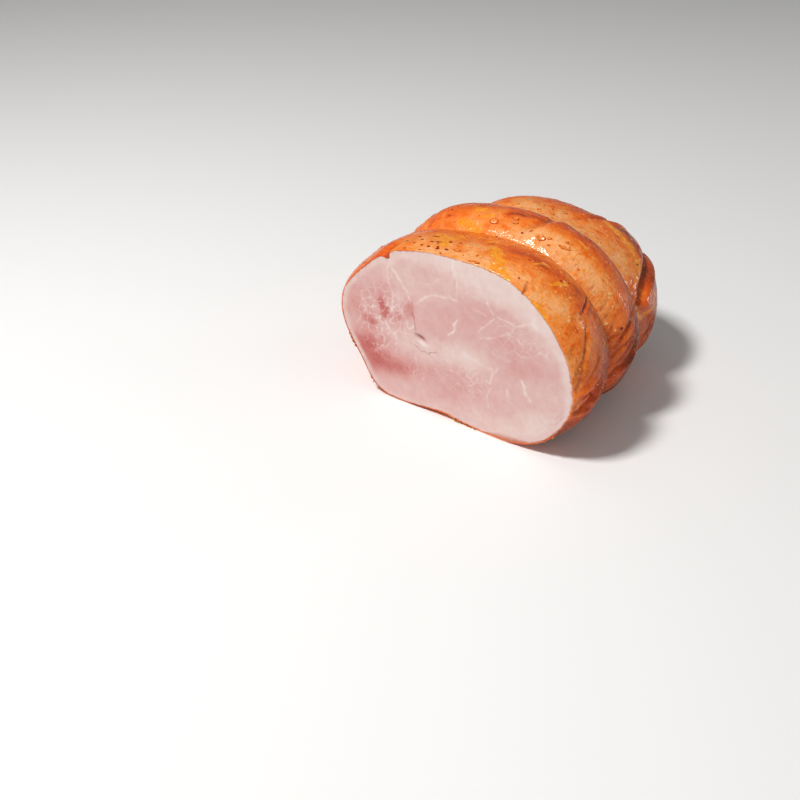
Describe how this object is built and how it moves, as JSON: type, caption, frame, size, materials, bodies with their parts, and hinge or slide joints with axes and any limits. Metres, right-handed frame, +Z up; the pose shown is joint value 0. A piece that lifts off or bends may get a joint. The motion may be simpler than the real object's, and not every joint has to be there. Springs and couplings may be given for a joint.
{
  "type": "smoked ham",
  "caption": "Boned smoked ham, tied into lobes while it cooked and cut straight across at one end, lying on its flattened underside.",
  "frame": {"origin": "middle of the bounding box's base, on the surface the ham lies on", "axes": "+X to the right across the cut face, -Y out of the cut face, +Y towards the domed end, +Z up"},
  "size_m": [0.2165, 0.2064, 0.1378],
  "materials": {
    "ham": "smoked orange-brown rind with a soft shine, pale pink moist meat on the cut face"
  },
  "bodies": {
    "root": {"ham": "ham"}
  },
  "joints": []
}
